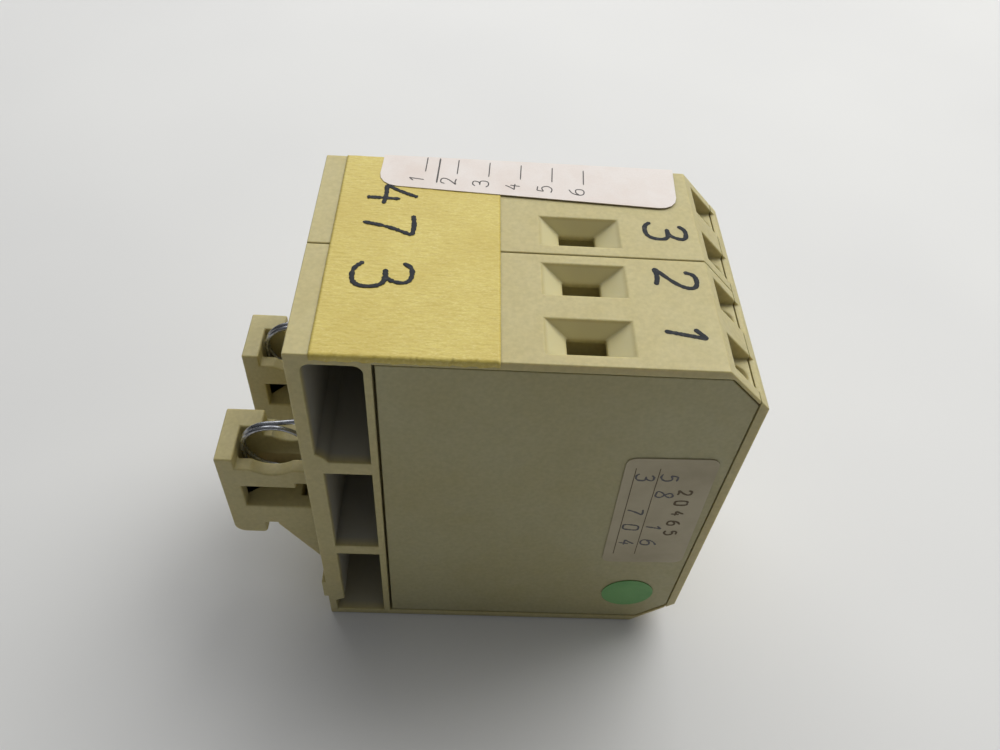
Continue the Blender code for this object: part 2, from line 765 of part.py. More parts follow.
def led_mesh():
    """A round lamp with a domed front, standing along x."""
    dome = arc((0, 0), LED_RADIUS, 90, 0, 5)
    profile = [(r, LED_FRONT - LED_RADIUS + z) for r, z in dome]
    profile[0] = (0, LED_FRONT)
    profile += [(LED_RADIUS, LED_REAR), (0, LED_REAR)]
    place = Matrix.Translation((0, LED_PLACE, LED_HEIGHT)) @ Matrix.Rotation(math.pi / 2, 4, "Y")
    return moved(turned(profile, 16), place)


def transformer_meshes():
    """A laminated core with two windows, and the winding around its middle leg."""
    rear, front, low, high = 32 * MM, 58 * MM, 27.5 * MM, 48.5 * MM
    top, base = 5 * MM, 16 * MM
    window, leg = 5 * MM, 6 * MM
    middle = (rear + front) / 2
    core = box((rear, top, low), (front, base, high))
    for sign in (-1, 1):
        near_leg, outer = middle + sign * leg / 2, middle + sign * (leg / 2 + window)
        cutter = box(
            (min(near_leg, outer), top - BEYOND, low + 3.5 * MM),
            (max(near_leg, outer), base + BEYOND, high - 3.5 * MM),
        )
        core = cut(core, cutter)
    wide, play = leg / 2 + window - GAP, leg / 2 + GAP
    coil = box(
        (middle - wide, top - 2.4 * MM, low + 3.8 * MM),
        (middle + wide, base + 2.2 * MM, high - 3.8 * MM),
    )
    coil = cut(coil, box((middle - play, top - GAP, low), (middle + play, base + GAP, high)))
    return core, coil


def capacitor_mesh():
    """An upright can standing on the board, with a rolled groove near its foot."""
    radius, base, top = 4 * MM, BOARD_FACE - GAP, 5 * MM
    edge = 0.4 * MM
    profile = [
        (0, -top),
        (radius - edge, -top),
        (radius, -top - edge),
        (radius, -base + 2.4 * MM),
        (radius - edge, -base + 2 * MM),
        (radius, -base + 1.6 * MM),
        (radius, -base),
        (0, -base),
    ]
    place = Matrix.Translation((24 * MM, 0, 58 * MM)) @ Matrix.Rotation(math.pi / 2, 4, "X")
    return moved(turned(profile), place)


def ribbon_mesh():
    """The flat link between the boards, through the windows in both side walls."""
    (rear, bottom), (front, top) = WINDOW
    middle = (rear + front) / 2
    return box(
        (middle - 0.4 * MM, BOARD_FACE + BOARD_THICKNESS + GAP, bottom + 2 * MM),
        (middle + 0.4 * MM, MODULE_PITCH + BOARD_FACE - GAP, top - 2 * MM),
    )


def build_electronics(materials, modules):
    for side, module in modules.items():
        new_part(f"circuit_board_{side}", board_mesh(), materials["board"], module)
    core, coil = transformer_meshes()
    near = modules["near"]
    new_part("transformer_core", core, materials["iron"], near)
    new_part("transformer_coil", coil, materials["winding"], near)
    new_part("filter_capacitor", capacitor_mesh(), materials["can"], near)
    new_part("board_link_ribbon", ribbon_mesh(), materials["ribbon"], near)
    new_part("power_lamp", led_mesh(), materials["green_lamp"], near)
    new_part("relay_lamp", led_mesh(), materials["red_lamp"], modules["far"])


# Switching relay


def along_y(mesh, centre_x, centre_z):
    """Turns a solid made about z so that its +z points along +y, and places it."""
    turn = Matrix.Rotation(-math.pi / 2, 4, "X")
    return moved(mesh, Matrix.Translation((centre_x, 0, centre_z)) @ turn)


def relay_case_meshes():
    base_top, cover_top, wall = 16.5 * MM, 2 * MM, 0.7 * MM
    (rear, front), (low, high) = RELAY_X, RELAY_Z
    base = box((rear, base_top, low), (front, BOARD_FACE - GAP, high))
    cover = box((rear, cover_top, low), (front, base_top - GAP, high))
    hollow = box(
        (rear + wall, cover_top + wall, low + wall), (front - wall, base_top + BEYOND, high - wall)
    )
    return base, cut(cover, hollow)


def relay_magnet_meshes():
    yoke_rear, yoke_thickness = 35 * MM, 1.2 * MM
    foot_top, foot_base = 14.9 * MM, 15.9 * MM
    low, high = RELAY_MIDDLE - 5 * MM, RELAY_MIDDLE + 5 * MM
    leg = box((yoke_rear, POLE_FACE, low), (yoke_rear + yoke_thickness, foot_base, high))
    foot = box((yoke_rear, foot_top, low), (COIL_X + 5 * MM, foot_base, high))
    pole, pin, pole_base = 3.2 * MM, 1.7 * MM, POLE_FACE + 0.8 * MM
    core = turned(
        [
            (0, foot_top - GAP),
            (pin, foot_top - GAP),
            (pin, pole_base),
            (pole, pole_base),
            (pole, POLE_FACE),
            (0, POLE_FACE),
        ]
    )
    flange, bore, barrel = 5.3 * MM, 2 * MM, 2.5 * MM
    top, base, thick = 7 * MM, 14.5 * MM, 0.7 * MM
    bobbin = turned(
        [
            (flange, base),
            (flange, base - thick),
            (barrel, base - thick),
            (barrel, top + thick),
            (flange, top + thick),
            (flange, top),
            (bore, top),
            (bore, base),
            (flange, base),
        ]
    )
    winding = turned_ring(barrel + 0.2 * MM, 5 * MM, top + thick + 0.2 * MM, base - thick - 0.2 * MM)
    return {
        "relay_yoke": join(leg, foot),
        "relay_core": along_y(core, COIL_X, RELAY_MIDDLE),
        "relay_bobbin": along_y(bobbin, COIL_X, RELAY_MIDDLE),
        "relay_coil": along_y(winding, COIL_X, RELAY_MIDDLE),
    }


def armature_mesh():
    """The armature plate, in a frame whose origin is its pivot on the yoke's edge."""
    return box((0, -0.9 * MM, -5 * MM), (11 * MM, 0, 5 * MM))


def contact_spring_mesh():
    """A thin spring on the armature, with the moving contact near its tip."""
    out, thick = -1.1 * MM, 0.25 * MM
    tip = CONTACT_X - ARMATURE_PIVOT[0]
    strip = box((2 * MM, out - thick, -2.5 * MM), (tip + 1.2 * MM, out, 2.5 * MM))
    button = cylinder(CONTACT_RADIUS, (tip, out - thick - 0.3 * MM, 0), (tip, out + 0.4 * MM, 0), 16)
    return join(strip, button)


def fixed_contact_mesh(face, outer, leg_low, leg_high):
    """A fixed contact: a button, its carrier strip and a leg down to the relay's base."""
    base = 16.2 * MM
    leg_rear, leg_front = 50 * MM, 50.5 * MM
    half = 1.2 * MM
    strip_low = min(leg_low, RELAY_MIDDLE - half)
    strip_high = max(leg_high, RELAY_MIDDLE + half)
    strip = box((CONTACT_X - half, outer[0], strip_low), (leg_front, outer[1], strip_high))
    leg = box((leg_rear, outer[0], leg_low), (leg_front, base, leg_high))
    inside = (CONTACT_X, sum(outer) / 2, RELAY_MIDDLE)
    button = cylinder(CONTACT_RADIUS, (CONTACT_X, face, RELAY_MIDDLE), inside, 16)
    return join(strip, leg, button)


def build_relay(materials, module):
    base, cover = relay_case_meshes()
    new_part("relay_base", base, materials["black"], module)
    new_part("relay_cover", cover, materials["clear"], module)
    looks = {"relay_yoke": "iron", "relay_core": "iron", "relay_bobbin": "black", "relay_coil": "winding"}
    for name, mesh in relay_magnet_meshes().items():
        new_part(name, mesh, materials[looks[name]], module)
    pivot = (*ARMATURE_PIVOT, RELAY_MIDDLE)
    tilt = (0, 0, -ARMATURE_OPEN)
    new_part("relay_armature", armature_mesh(), materials["iron"], module, pivot, tilt)
    new_part("contact_spring", contact_spring_mesh(), materials["brass"], module, pivot, tilt)
    low_leg = (RELAY_MIDDLE - 7 * MM, RELAY_MIDDLE - 4 * MM)
    high_leg = (RELAY_MIDDLE + 4 * MM, RELAY_MIDDLE + 7 * MM)
    idle = fixed_contact_mesh(3.15 * MM, (2.75 * MM, 3 * MM), *high_leg)
    working = fixed_contact_mesh(5.2 * MM, (5.4 * MM, 5.7 * MM), *low_leg)
    new_part("fixed_contact_closed", idle, materials["brass"], module)
    new_part("fixed_contact_open", working, materials["brass"], module)


# Tape and labels


def rounded_rectangle(low, high, radius, steps=4):
    (left, bottom), (right, top) = low, high
    points = arc((right - radius, bottom + radius), radius, 270, 360, steps)
    points += arc((right - radius, top - radius), radius, 0, 90, steps)
    points += arc((left + radius, top - radius), radius, 90, 180, steps)
    points += arc((left + radius, bottom + radius), radius, 180, 270, steps)
    return points


def tape_mesh():
    """A tape band across both modules' top ends, folded down over both edges."""
    inner, outer = LABEL_GAP, LABEL_GAP + LABEL_THICKNESS
    near, far = -CASE_WIDTH / 2, CASE_WIDTH / 2
    near_hem, far_hem = CASE_HEIGHT - TAPE_NEAR_HEM, CASE_HEIGHT - TAPE_FAR_HEM
    outline = [
        (near - outer, near_hem),
        (near - inner, near_hem),
        (near - inner, CASE_HEIGHT + inner),
        (far + inner, CASE_HEIGHT + inner),
        (far + inner, far_hem),
        (far + outer, far_hem),
        (far + outer, CASE_HEIGHT + outer),
        (near - outer, CASE_HEIGHT + outer),
    ]
    return prism(outline, *TAPE_SPAN, "YZ")


def top_label_mesh():
    """A paper label over the tape, turned a little and folded down over the far edge."""
    length, width = (size / 2 for size in TOP_LABEL_SIZE)
    inner = 2 * LABEL_GAP + LABEL_THICKNESS
    outer = inner + LABEL_THICKNESS
    fold = CASE_WIDTH / 2
    sheet = prism(rounded_rectangle((-length, -width), (length, width), 3 * MM), inner, outer, "XY")
    place = Matrix.Translation((*TOP_LABEL_CENTRE, 0)) @ Matrix.Rotation(TOP_LABEL_TURN, 4, "Z")
    sheet = moved(sheet, place)
    reach = 80 * MM
    before_fold = box((-reach, -reach, -reach), (reach, fold - BEYOND, reach))
    beyond_fold = box((-reach, fold + outer, -reach), (reach, reach, reach))
    level = cut(sheet.copy(), beyond_fold)
    hanging = cut(sheet, before_fold)
    # Turning about the fold's own line swaps reach beyond the edge for reach below the top end.
    turn = Matrix.Translation((0, fold, 0)) @ Matrix.Rotation(-math.pi / 2, 4, "X")
    hanging = moved(hanging, turn @ Matrix.Translation((0, -fold, 0)))
    above = box((-reach, -reach, outer), (reach, reach, reach))
    folded = join(level, cut(hanging, above))
    return moved(folded, Matrix.Translation((0, 0, CASE_HEIGHT)))


def near_side_sheet(outline, centre, turn=0.0):
    """A thin sheet just off the near side cover, its outline drawn about its own middle."""
    face = -CASE_WIDTH / 2 + COVER_RECESS - LABEL_GAP
    place = Matrix.Translation((centre[0], 0, centre[1])) @ Matrix.Rotation(-turn, 4, "Y")
    return moved(prism(outline, face - LABEL_THICKNESS, face), place)


def build_labels(materials, root):
    new_part("tape_band", tape_mesh(), materials["tape"], root)
    new_part("top_label", top_label_mesh(), materials["paper"], root)
    width, height = (size / 2 for size in TEST_LABEL_SIZE)
    label = rounded_rectangle((-width, -height), (width, height), 1.6 * MM)
    label = near_side_sheet(label, TEST_LABEL_CENTRE, TEST_LABEL_TURN)
    new_part("test_label", label, materials["old_paper"], root)
    dot = near_side_sheet(arc((0, 0), DOT_RADIUS, 0, 345, 23), DOT_CENTRE)
    new_part("green_dot", dot, materials["green"], root)


def build_materials():
    return {
        "case": new_material("case_plastic", (0.55, 0.50, 0.28), 0.55),
        "cover": new_material("cover_plastic", (0.42, 0.40, 0.27), 0.6),
        "steel": new_material("spring_steel", (0.62, 0.62, 0.62), 0.25, 1.0),
        "screw": new_material("zinc_screw", (0.70, 0.70, 0.68), 0.35, 1.0),
        "brass": new_material("tinned_brass", (0.75, 0.68, 0.45), 0.35, 1.0),
        "iron": new_material("soft_iron", (0.45, 0.44, 0.42), 0.5, 1.0),
        "winding": new_material("enamelled_winding", (0.50, 0.18, 0.05), 0.4, 0.6),
        "board": new_material("board_laminate", (0.10, 0.28, 0.10), 0.5),
        "black": new_material("black_plastic", (0.03, 0.03, 0.03), 0.5),
        "clear": new_material("clear_plastic", (0.80, 0.82, 0.80), 0.1),
        "can": new_material("capacitor_can", (0.05, 0.07, 0.16), 0.4),
        "ribbon": new_material("ribbon_cable", (0.45, 0.45, 0.45), 0.5),
        "green_lamp": new_material("green_lamp", (0.05, 0.50, 0.10), 0.2),
        "red_lamp": new_material("red_lamp", (0.60, 0.04, 0.03), 0.2),
        "tape": new_material("masking_tape", (0.72, 0.50, 0.10), 0.7),
        "paper": new_material("white_paper", (0.85, 0.80, 0.76), 0.7),
        "old_paper": new_material("yellowed_paper", (0.60, 0.56, 0.44), 0.7),
        "green": new_material("green_sticker", (0.08, 0.32, 0.08), 0.6),
    }


def main():
    clear_scene()
    new_collection(PARTS)
    cutters = new_collection(CUTTERS)
    cutters.hide_render = True
    materials = build_materials()
    root = new_empty("relay_origin", (ROOT_X, 0, 0))
    modules = {
        "near": new_empty("module_near", (0, NEAR_MODULE, 0), root),
        "far": new_empty("module_far", (0, FAR_MODULE, 0), root),
    }
    build_case(materials, root, modules)
    build_latches(materials, modules)
    build_terminals(materials, modules)
    build_electronics(materials, modules)
    build_relay(materials, modules["far"])
    build_labels(materials, root)


main()
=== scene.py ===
"""Looks for the rail-mounted control relay: mouldings, tape, labels, marks, springs, light and camera."""

import json
import math

import bmesh
import bpy
from mathutils import Matrix, Vector, noise


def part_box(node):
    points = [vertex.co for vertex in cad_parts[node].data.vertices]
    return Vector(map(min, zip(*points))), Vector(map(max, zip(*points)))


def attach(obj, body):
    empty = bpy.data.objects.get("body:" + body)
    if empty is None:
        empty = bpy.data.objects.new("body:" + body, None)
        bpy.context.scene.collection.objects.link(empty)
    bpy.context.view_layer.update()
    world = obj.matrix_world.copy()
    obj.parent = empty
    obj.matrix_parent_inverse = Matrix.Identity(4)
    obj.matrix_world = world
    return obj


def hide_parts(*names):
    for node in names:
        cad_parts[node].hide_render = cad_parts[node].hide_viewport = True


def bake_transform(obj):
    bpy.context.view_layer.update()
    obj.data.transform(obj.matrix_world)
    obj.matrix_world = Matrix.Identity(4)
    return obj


MM = 0.001

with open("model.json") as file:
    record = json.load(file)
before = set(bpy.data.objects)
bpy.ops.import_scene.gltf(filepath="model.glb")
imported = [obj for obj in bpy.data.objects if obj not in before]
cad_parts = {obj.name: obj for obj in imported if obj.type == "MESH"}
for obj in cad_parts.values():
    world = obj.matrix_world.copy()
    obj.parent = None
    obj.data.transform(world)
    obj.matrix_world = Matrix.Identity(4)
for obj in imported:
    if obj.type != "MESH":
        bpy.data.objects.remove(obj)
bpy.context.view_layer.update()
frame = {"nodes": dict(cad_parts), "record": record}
nodes = frame["nodes"]

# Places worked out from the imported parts: x from the case's rear face, y from its middle, z from its base
CASE_DEPTH = 67.5 * MM
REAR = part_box("front_cover")[1].x - CASE_DEPTH
NEAR_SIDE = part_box("housing_near")[0].y
FAR_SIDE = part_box("housing_far")[1].y
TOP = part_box("housing_near")[1].z
MODULE_STARTS = {"near": NEAR_SIDE, "far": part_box("housing_far")[0].y}
TERMINALS = (5.46 * MM, 17.04 * MM)


# Node tree helper


class Tree:
    """Builds a material's node tree with short calls."""

    def __init__(self, name):
        self.material = bpy.data.materials.new(name)
        self.material.use_nodes = True
        self.nodes = self.material.node_tree.nodes
        self.links = self.material.node_tree.links
        self.shader = self.nodes["Principled BSDF"]
        self.place = self.nodes.new("ShaderNodeTexCoord").outputs["Object"]

    def add(self, kind, settings=None, **inputs):
        node = self.nodes.new("ShaderNode" + kind)
        for key, value in (settings or {}).items():
            setattr(node, key, value)
        for key, value in inputs.items():
            self.feed(node.inputs[key.replace("_", " ")], value)
        return node

    def feed(self, socket, value):
        if isinstance(value, bpy.types.NodeSocket):
            self.links.new(value, socket)
        elif socket.type == "RGBA" and len(value) == 3:
            socket.default_value = (*value, 1.0)
        else:
            socket.default_value = value

    def stretched(self, scale):
        """The object's own coordinates, scaled differently along each axis."""
        mapping = self.add("Mapping", Scale=scale)
        self.links.new(self.place, mapping.inputs["Vector"])
        return mapping.outputs["Vector"]

    def noise(self, scale, detail=2.0, roughness=0.5, vector=None):
        texture = self.add("TexNoise", Scale=scale, Detail=detail, Roughness=roughness)
        self.links.new(vector or self.place, texture.inputs["Vector"])
        return texture.outputs["Fac"]

    def ramp(self, value, low, high, start=0.0, end=1.0):
        """The value remapped from low..high to start..end, clamped."""
        node = self.add("MapRange", From_Min=low, From_Max=high, To_Min=start, To_Max=end)
        self.links.new(value, node.inputs["Value"])
        return node.outputs["Result"]

    def math(self, operation, first, second=0.0):
        node = self.add("Math", {"operation": operation})
        self.feed(node.inputs[0], first)
        self.feed(node.inputs[1], second)
        return node.outputs["Value"]

    def mix(self, share, first, second, blend="MIX"):
        node = self.add("Mix", {"data_type": "RGBA", "blend_type": blend})
        self.feed(node.inputs["Factor"], share)
        self.feed(node.inputs["A"], first)
        self.feed(node.inputs["B"], second)
        return node.outputs["Result"]

    def bump(self, height, strength, distance, normal=None):
        node = self.add("Bump", Strength=strength, Distance=distance)
        self.links.new(height, node.inputs["Height"])
        if normal is not None:
            self.links.new(normal, node.inputs["Normal"])
        return node.outputs["Normal"]

    def crevice(self, reach):
        """One in the open, falling towards zero in corners narrower than the reach."""
        node = self.add("AmbientOcclusion", {"samples": 6, "only_local": False}, Distance=reach)
        return node.outputs["AO"]

    def finish(self, colour, roughness, normal=None, **inputs):
        self.feed(self.shader.inputs["Base Color"], colour)
        self.feed(self.shader.inputs["Roughness"], roughness)
        if normal is not None:
            self.links.new(normal, self.shader.inputs["Normal"])
        for key, value in inputs.items():
            self.feed(self.shader.inputs[key.replace("_", " ")], value)
        return self.material


# Materials


# Light that soaks into the moulding and comes out nearby
SCATTER = 0.4
SCATTER_SCALE = 1.5 * MM
SCATTER_RADIUS = (1.0, 0.85, 0.5)

# Painted shade: the rear pockets' inner faces are coloured darker and greyer than the outer ones, where
# shade falls inside the pockets
POCKET_PAINTED_SHADE = (0.42, 0.40, 0.33)
POCKET_LOW = (REAR + 1.6 * MM, NEAR_SIDE + 1.1 * MM, 1.4 * MM)
POCKET_HIGH = (REAR + 10.9 * MM, NEAR_SIDE + 21.7 * MM, TOP - 1.4 * MM)
POCKET_SOFTNESS = (0.2 * MM, 0.8 * MM, 0.2 * MM)

# Painted light: the wire funnels' slopes are coloured paler than the rest of the moulding, lifting the
# shade on them
FUNNEL_PAINTED_LIGHT = (0.66, 0.60, 0.34)
FUNNEL_LOW = (REAR + 34.7 * MM, NEAR_SIDE + 1.4 * MM, TOP - 2.7 * MM)
FUNNEL_HIGH = (REAR + 47.7 * MM, FAR_SIDE - 1.4 * MM, TOP - 0.3 * MM)
FUNNEL_SOFTNESS = (0.2 * MM, 0.2 * MM, 0.25 * MM)


def inside_box(tree, low, high, softness):
    """One inside a box in world space and zero outside it, with soft sides."""
    place = tree.add("SeparateXYZ", Vector=tree.add("NewGeometry").outputs["Position"])
    share = 1.0
    for axis, start, end, soft in zip("XYZ", low, high, softness):
        value = place.outputs[axis]
        rise = tree.ramp(value, start - soft, start + soft)
        fall = tree.ramp(value, end - soft, end + soft, 1.0, 0.0)
        share = tree.math("MULTIPLY", share, tree.math("MULTIPLY", rise, fall))
    return share


def moulded_plastic(name, colour, yellowed, roughness=0.5, dust_and_shade=0.35):
    """Satin moulding: slow colour drift, fine spark-eroded grain, faint scratches, dust and painted shade
    in the corners, painted shade inside the rear pockets and painted light on the wire funnels' slopes.
    """
    tree = Tree(name)
    drift = tree.ramp(tree.noise(45, 3), 0.35, 0.65)
    tint = tree.mix(drift, colour, yellowed)
    speckle = tree.ramp(tree.noise(1400, 2), 0.3, 0.7, 0.94, 1.06)
    grey = tree.add("CombineColor", Red=speckle, Green=speckle, Blue=speckle).outputs["Color"]
    tint = tree.mix(1.0, tint, grey, "MULTIPLY")
    smudge = tree.ramp(tree.noise(120, 4, 0.6), 0.6, 0.85, 0.0, 0.05)
    tint = tree.mix(smudge, tint, (0.20, 0.17, 0.10))
    # Painted shade inside the rear pockets
    tint = tree.mix(inside_box(tree, POCKET_LOW, POCKET_HIGH, POCKET_SOFTNESS), tint, POCKET_PAINTED_SHADE)
    # Painted light: the wire funnels' slopes are coloured paler, lifting the shade on them
    tint = tree.mix(inside_box(tree, FUNNEL_LOW, FUNNEL_HIGH, FUNNEL_SOFTNESS), tint, FUNNEL_PAINTED_LIGHT)
    # Dust and painted shade: colour darkened towards brown in corners narrower than the reach
    corner = tree.ramp(tree.crevice(1.2 * MM), 0.45, 0.95, dust_and_shade, 0.0)
    tint = tree.mix(corner, tint, (0.11, 0.09, 0.05))
    grain = tree.noise(5200, 2)
    scratch_field = tree.noise(260, 2, 0.5, tree.stretched((1, 6, 22)))
    scratch = tree.ramp(scratch_field, 0.66, 0.69)
    normal = tree.bump(grain, 0.10, 0.03 * MM)
    normal = tree.bump(scratch, 0.12, 0.02 * MM, normal)
    shine = tree.ramp(tree.noise(300, 3), 0.3, 0.7, roughness - 0.07, roughness + 0.08)
    tree.feed(tree.shader.inputs["Subsurface Radius"], SCATTER_RADIUS)
    scatter = {"Subsurface_Weight": SCATTER, "Subsurface_Scale": SCATTER_SCALE}
    return tree.finish(tint, shine, normal, Specular_IOR_Level=0.4, **scatter)


def metal(name, colour, roughness, tarnish, scale=900):
    tree = Tree(name)
    cloud = tree.ramp(tree.noise(scale, 4, 0.6), 0.4, 0.7)
    tint = tree.mix(cloud, colour, tarnish)
    lines = tree.noise(2500, 2, 0.5, tree.stretched((1, 1, 12)))
    normal = tree.bump(lines, 0.08, 0.02 * MM)
    shine = tree.ramp(cloud, 0.0, 1.0, roughness, roughness + 0.2)
    return tree.finish(tint, shine, normal, Metallic=1.0)


def creped_tape():
    """Ochre masking tape: short creases across its width, painted lighter on their ridges and darker in
    their valleys, with painted glints on the fine ridges, and slightly clouded.
    """
    tree = Tree("creped_tape")
    crease = tree.noise(700, 4, 0.7, tree.stretched((1.0, 4.5, 1.0)))
    fine = tree.noise(2200, 3, 0.6, tree.stretched((1.0, 3.0, 1.0)))
    # Painted light and shade: the colour follows the crease height, lighter on the ridges and darker in the
    # valleys
    crease_height_and_shade = tree.ramp(crease, 0.3, 0.7)
    tint = tree.mix(crease_height_and_shade, (0.60, 0.46, 0.085), (0.74, 0.62, 0.17))
    # Painted glints: pale flecks on the fine ridges
    tint = tree.mix(tree.ramp(fine, 0.5, 0.8, 0.0, 0.55), tint, (0.92, 0.84, 0.42))
    cloud = tree.ramp(tree.noise(110, 4), 0.35, 0.7, 0.0, 0.4)
    tint = tree.mix(cloud, tint, (0.56, 0.41, 0.065))
    height = tree.math("ADD", crease, tree.math("MULTIPLY", fine, 0.6))
    normal = tree.bump(height, 0.35, 0.09 * MM)
    return tree.finish(tint, tree.ramp(crease_height_and_shade, 0, 1, 0.38, 0.55), normal, Specular_IOR_Level=0.45)


def label_paper(name, colour, stain):
    """Matt label paper with soft stains and visible fibres."""
    tree = Tree(name)
    cloud = tree.ramp(tree.noise(110, 4, 0.6), 0.4, 0.75)
    tint = tree.mix(cloud, colour, stain)
    fibre = tree.noise(3500, 3, 0.6)
    tint = tree.mix(tree.ramp(fibre, 0.45, 0.8, 0.0, 0.12), tint, (0.5, 0.45, 0.38))
    normal = tree.bump(tree.noise(900, 3, 0.6), 0.15, 0.05 * MM)
    return tree.finish(tint, 0.55, normal, Specular_IOR_Level=0.35)


def ink(name, colour):
    tree = Tree(name)
    dry = tree.ramp(tree.noise(1300, 3, 0.6), 0.55, 0.75, 0.0, 0.25)
    tint = tree.mix(dry, colour, (0.2, 0.19, 0.17))
    return tree.finish(tint, 0.6, Specular_IOR_Level=0.2)


def simple(name, colour, roughness, **inputs):
    """A small hidden part's finish: colour drift and a little grain."""
    tree = Tree(name)
    cloud = tree.ramp(tree.noise(400, 3), 0.35, 0.7, 0.0, 0.3)
    darker = tuple(0.6 * channel for channel in colour)
    tint = tree.mix(cloud, colour, darker)
    normal = tree.bump(tree.noise(3000, 2), 0.1, 0.03 * MM)
    return tree.finish(tint, roughness, normal, **inputs)


MATERIALS = {
    "case": moulded_plastic("case_plastic", (0.56, 0.495, 0.25), (0.545, 0.47, 0.225)),
    "cover": moulded_plastic("cover_plastic", (0.46, 0.425, 0.235), (0.44, 0.395, 0.20), 0.48, 0.2),
    "spring_steel": metal("spring_steel", (0.42, 0.43, 0.46), 0.2, (0.28, 0.28, 0.30)),
    "screw": metal("zinc_screw", (0.68, 0.68, 0.62), 0.3, (0.5, 0.47, 0.36)),
    "tinned_brass": metal("tinned_brass", (0.72, 0.66, 0.5), 0.32, (0.5, 0.4, 0.22)),
    "iron": metal("soft_iron", (0.30, 0.29, 0.28), 0.5, (0.2, 0.17, 0.15)),
    "winding": metal("winding", (0.55, 0.22, 0.08), 0.35, (0.4, 0.14, 0.05)),
    "board": simple("board_laminate", (0.06, 0.20, 0.08), 0.4),
    "black": simple("black_plastic", (0.02, 0.02, 0.02), 0.4),
    "clear": simple("clear_plastic", (0.8, 0.83, 0.82), 0.08, Transmission_Weight=0.85),
    "can": simple("capacitor_sleeve", (0.03, 0.05, 0.12), 0.35),
    "ribbon": simple("ribbon_cable", (0.42, 0.42, 0.43), 0.5),
    "green_lamp": simple("green_lamp", (0.04, 0.45, 0.1), 0.15, Transmission_Weight=0.4),
    "red_lamp": simple("red_lamp", (0.55, 0.03, 0.02), 0.15, Transmission_Weight=0.4),
    "tape": creped_tape(),
    "white_paper": label_paper("white_paper", (0.86, 0.80, 0.76), (0.80, 0.70, 0.64)),
    "old_paper": label_paper("old_paper", (0.53, 0.465, 0.315), (0.42, 0.36, 0.23)),
    "green_paper": label_paper("green_paper", (0.19, 0.44, 0.15), (0.12, 0.34, 0.10)),
    "ink": ink("marker_ink", (0.02, 0.024, 0.03)),
    "faded_ink": ink("faded_ink", (0.10, 0.095, 0.095)),
    "pencil": ink("pencil", (0.15, 0.145, 0.15)),
    "brown_print": ink("brown_print", (0.14, 0.105, 0.06)),
}


# CAD parts kept as they are, with their finish and small edge radii


def dress_cad_nodes():
    for part in frame["record"]["subparts"]:
        node = nodes[part["node"]]
        node.data.materials.clear()
        node.data.materials.append(MATERIALS[part["material_slot"]])


def round_edges(node_name, width, segments=2):
    """Gives a moulded part its small edge radii."""
    node = nodes[node_name]
    weld = node.modifiers.new("weld", "WELD")
    weld.merge_threshold = 1e-6
    flat = node.modifiers.new("flat", "DECIMATE")
    flat.decimate_type = "DISSOLVE"
    flat.angle_limit = math.radians(0.5)
    bevel = node.modifiers.new("bevel", "BEVEL")
    bevel.width = width
    bevel.segments = segments
    bevel.limit_method = "ANGLE"
    bevel.angle_limit = math.radians(30)
    bevel.use_clamp_overlap = False
    normals = node.modifiers.new("normals", "WEIGHTED_NORMAL")
    normals.weight = 100
    node.data.shade_smooth()


# Marks: ink beads along smoothed strokes

# Handwritten digits, each a list of strokes in a box one high and about 0.6 wide
DIGITS = {
    "0": [[(0.3, 1), (0, 0.97), (0, 0.03), (0.3, 0), (0.6, 0.03), (0.6, 0.97), (0.3, 1)]],
    "1": [[(0.08, 0.72), (0.36, 1)], [(0.36, 1), (0.26, 0)]],
    "2": [
        [(0.03, 0.75), (0.1, 1.05), (0.6, 1.02), (0.6, 0.6), (0, 0)],
        [(0, 0), (0.3, 0.08), (0.62, 0)],
    ],
    "3": [
        [(0.04, 0.86), (0.2, 1.06), (0.62, 1), (0.5, 0.58), (0.2, 0.55)],
        [(0.2, 0.55), (0.66, 0.56), (0.66, 0), (0.2, -0.06), (0, 0.14)],
    ],
    "4": [
        [(0.4, 1), (0.2, 0.62), (0, 0.36)],
        [(0, 0.36), (0.3, 0.38), (0.62, 0.34)],
        [(0.46, 0.66), (0.4, 0)],
    ],
    "5": [
        [(0.58, 0.96), (0.14, 1)],
        [(0.14, 1), (0.08, 0.56)],
        [(0.08, 0.56), (0.5, 0.74), (0.72, 0.28), (0.4, -0.06), (0, 0.06)],
    ],
    "6": [[(0.5, 1), (0.05, 0.75), (-0.05, 0), (0.6, -0.06), (0.62, 0.55), (0.2, 0.55), (0.02, 0.3)]],
    "7": [[(0, 0.95), (0.3, 0.99), (0.6, 0.96)], [(0.6, 0.96), (0.34, 0.5), (0.2, 0)]],
    "8": [
        [(0.5, 0.9), (0.3, 1.08), (-0.02, 0.9), (0.2, 0.55), (0.62, 0.3), (0.5, -0.04), (0.26, 0)],
        [(0.26, 0), (-0.08, 0.02), (0, 0.35), (0.4, 0.6), (0.5, 0.9)],
    ],
}


class Page:
    """A flat place for marks: its corner, the way that writing runs, the way up, and the way out."""

    def __init__(self, corner, along, up):
        self.corner = Vector(corner)
        self.along = Vector(along).normalized()
        self.up = Vector(up).normalized()
        self.out = self.along.cross(self.up)

    def place(self, across, height, lift=0.0):
        return self.corner + self.along * across + self.up * height + self.out * lift


def smoothed(points, rounds=3):
    """Corner cutting: keeps the ends, rounds what lies between."""
    for _ in range(rounds):
        cut = [points[0]]
        for first, second in zip(points, points[1:]):
            cut.append(first.lerp(second, 0.25))
            cut.append(first.lerp(second, 0.75))
        points = [*cut, points[-1]]
    return points


def spaced(points, step):
    """Points at even steps along a path."""
    result = [points[0]]
    left = step
    for first, second in zip(points, points[1:]):
        length = (second - first).length
        travelled = 0.0
        while length - travelled > left:
            travelled += left
            result.append(first.lerp(second, travelled / length))
            left = step
        left -= length - travelled
    result.append(points[-1])
    return result


